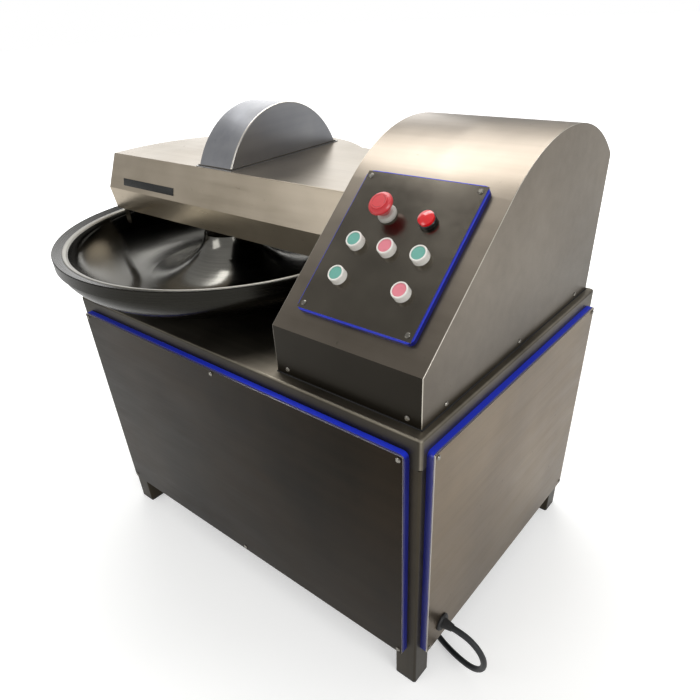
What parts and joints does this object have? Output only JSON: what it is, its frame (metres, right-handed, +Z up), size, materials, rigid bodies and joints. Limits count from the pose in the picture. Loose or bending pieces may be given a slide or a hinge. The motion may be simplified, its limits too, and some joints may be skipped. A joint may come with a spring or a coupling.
{
  "type": "meat bowl cutter",
  "caption": "Floor-standing bowl cutter with a turning bowl, sickle knives under a hinged lid, and a control housing with a sloping panel on a legged cabinet.",
  "frame": {"origin": "on the floor below the centre of the machine's bounding box, without the power cord", "axes": "+X to the right along the cabinet, +Y to the back, +Z up"},
  "size_m": [1.3005, 0.814, 1.027],
  "materials": {
    "frame_steel": "brushed stainless tube, welded",
    "panel_steel": "brushed stainless sheet",
    "lid_steel": "brushed stainless sheet",
    "bowl_steel": "turned and polished stainless steel",
    "knife_steel": "ground tool steel",
    "screw_steel": "polished stainless",
    "shaft_steel": "turned steel",
    "bearing_steel": "ground bearing steel",
    "cast_metal": "machined casting",
    "motor_paint": "satin grey-blue enamel",
    "gasket_blue": "smooth royal blue rubber",
    "plug_blue": "moulded plastic",
    "black_rubber": "matt black rubber",
    "foot_plastic": "moulded plastic",
    "collar_white": "glossy moulded plastic",
    "cap_green": "glossy moulded plastic",
    "cap_pink": "glossy moulded plastic",
    "estop_red": "glossy moulded plastic",
    "estop_grey": "glossy moulded plastic",
    "lamp_black": "glossy moulded plastic",
    "lamp_red": "clear red moulded lens"
  },
  "bodies": {
    "base": {"base_frame": "frame_steel", "foot_pads": "foot_plastic", "table_top": "panel_steel", "front_cover": "panel_steel", "right_cover": "panel_steel", "left_cover": "panel_steel", "rear_cover": "panel_steel", "panel_screws": "screw_steel", "control_housing": "panel_steel", "control_gasket": "gasket_blue", "control_plate": "panel_steel", "button_collars": "collar_white", "estop_collar": "estop_grey", "lamp_bezel": "lamp_black", "lamp_lens": "lamp_red", "bowl_bearing_housing": "cast_metal", "bowl_bearings": "bearing_steel", "bowl_gearbox": "cast_metal", "bowl_motor": "motor_paint", "spindle_housing": "shaft_steel", "spindle_bearings": "bearing_steel", "spindle_pedestal": "frame_steel", "knife_belts": "black_rubber", "knife_motor": "motor_paint", "motor_plate": "frame_steel", "hinge_pin": "shaft_steel", "hinge_posts": "lid_steel", "lid_rest": "lid_steel", "lid_bumper": "black_rubber", "cord_grommet": "black_rubber", "power_cord": "black_rubber", "cord_coil": "black_rubber", "cord_plug": "plug_blue", "front_gasket": "gasket_blue", "right_gasket": "gasket_blue", "left_gasket": "gasket_blue", "rear_gasket": "gasket_blue"},
    "bowl": {"bowl": "bowl_steel", "hub_cap": "bowl_steel", "bowl_nut": "shaft_steel", "bowl_shaft": "shaft_steel", "bowl_flange": "shaft_steel"},
    "knives": {"knife_1": "knife_steel", "knife_2": "knife_steel", "knife_3": "knife_steel", "knife_spacers": "shaft_steel", "knife_nut": "shaft_steel", "knife_shaft": "shaft_steel", "knife_pulley": "cast_metal"},
    "motor_rotor": {"motor_shaft": "shaft_steel", "motor_pulley": "cast_metal"},
    "lid": {"lid_shell": "lid_steel", "knife_dome": "lid_steel"},
    "estop": {"estop_button": "estop_red"},
    "knife_start_button": {"knife_start_button": "cap_green"},
    "knife_stop_button": {"knife_stop_button": "cap_pink"},
    "knife_slow_button": {"knife_slow_button": "cap_green"},
    "bowl_start_button": {"bowl_start_button": "cap_green"},
    "bowl_stop_button": {"bowl_stop_button": "cap_pink"}
  },
  "joints": [
    {"name": "bowl_spin", "type": "hinge", "parent": "base", "child": "bowl", "pos_m": [-0.1915, 0, 0.668], "axis": [0, 0, 1], "continuous": true},
    {"name": "knife_spin", "type": "hinge", "parent": "base", "child": "knives", "pos_m": [-0.145, 0.196, 0.81], "axis": [1, 0, 0], "continuous": true},
    {"name": "motor_spin", "type": "hinge", "parent": "base", "child": "motor_rotor", "pos_m": [0.373, 0.15, 0.291], "axis": [1, 0, 0], "continuous": true},
    {"name": "lid_hinge", "type": "hinge", "parent": "base", "child": "lid", "pos_m": [0.141, 0.364, 0.806], "axis": [-1, 0, 0], "range_deg": [0, 85]},
    {"name": "estop_press", "type": "slide", "parent": "base", "child": "estop", "axis": [0, 0.6455, -0.7638], "range_m": [0, 0.004]},
    {"name": "knife_start_press", "type": "slide", "parent": "base", "child": "knife_start_button", "axis": [0, 0.6455, -0.7638], "range_m": [0, 0.0025], "stiffness_N_per_m": 300, "springref_m": -0.002},
    {"name": "knife_stop_press", "type": "slide", "parent": "base", "child": "knife_stop_button", "axis": [0, 0.6455, -0.7638], "range_m": [0, 0.0025], "stiffness_N_per_m": 300, "springref_m": -0.002},
    {"name": "knife_slow_press", "type": "slide", "parent": "base", "child": "knife_slow_button", "axis": [0, 0.6455, -0.7638], "range_m": [0, 0.0025], "stiffness_N_per_m": 300, "springref_m": -0.002},
    {"name": "bowl_start_press", "type": "slide", "parent": "base", "child": "bowl_start_button", "axis": [0, 0.6455, -0.7638], "range_m": [0, 0.0025], "stiffness_N_per_m": 300, "springref_m": -0.002},
    {"name": "bowl_stop_press", "type": "slide", "parent": "base", "child": "bowl_stop_button", "axis": [0, 0.6455, -0.7638], "range_m": [0, 0.0025], "stiffness_N_per_m": 300, "springref_m": -0.002}
  ],
  "couplings": [
    {"joint": "motor_spin", "follows": "knife_spin", "ratio": 0.68314}
  ]
}
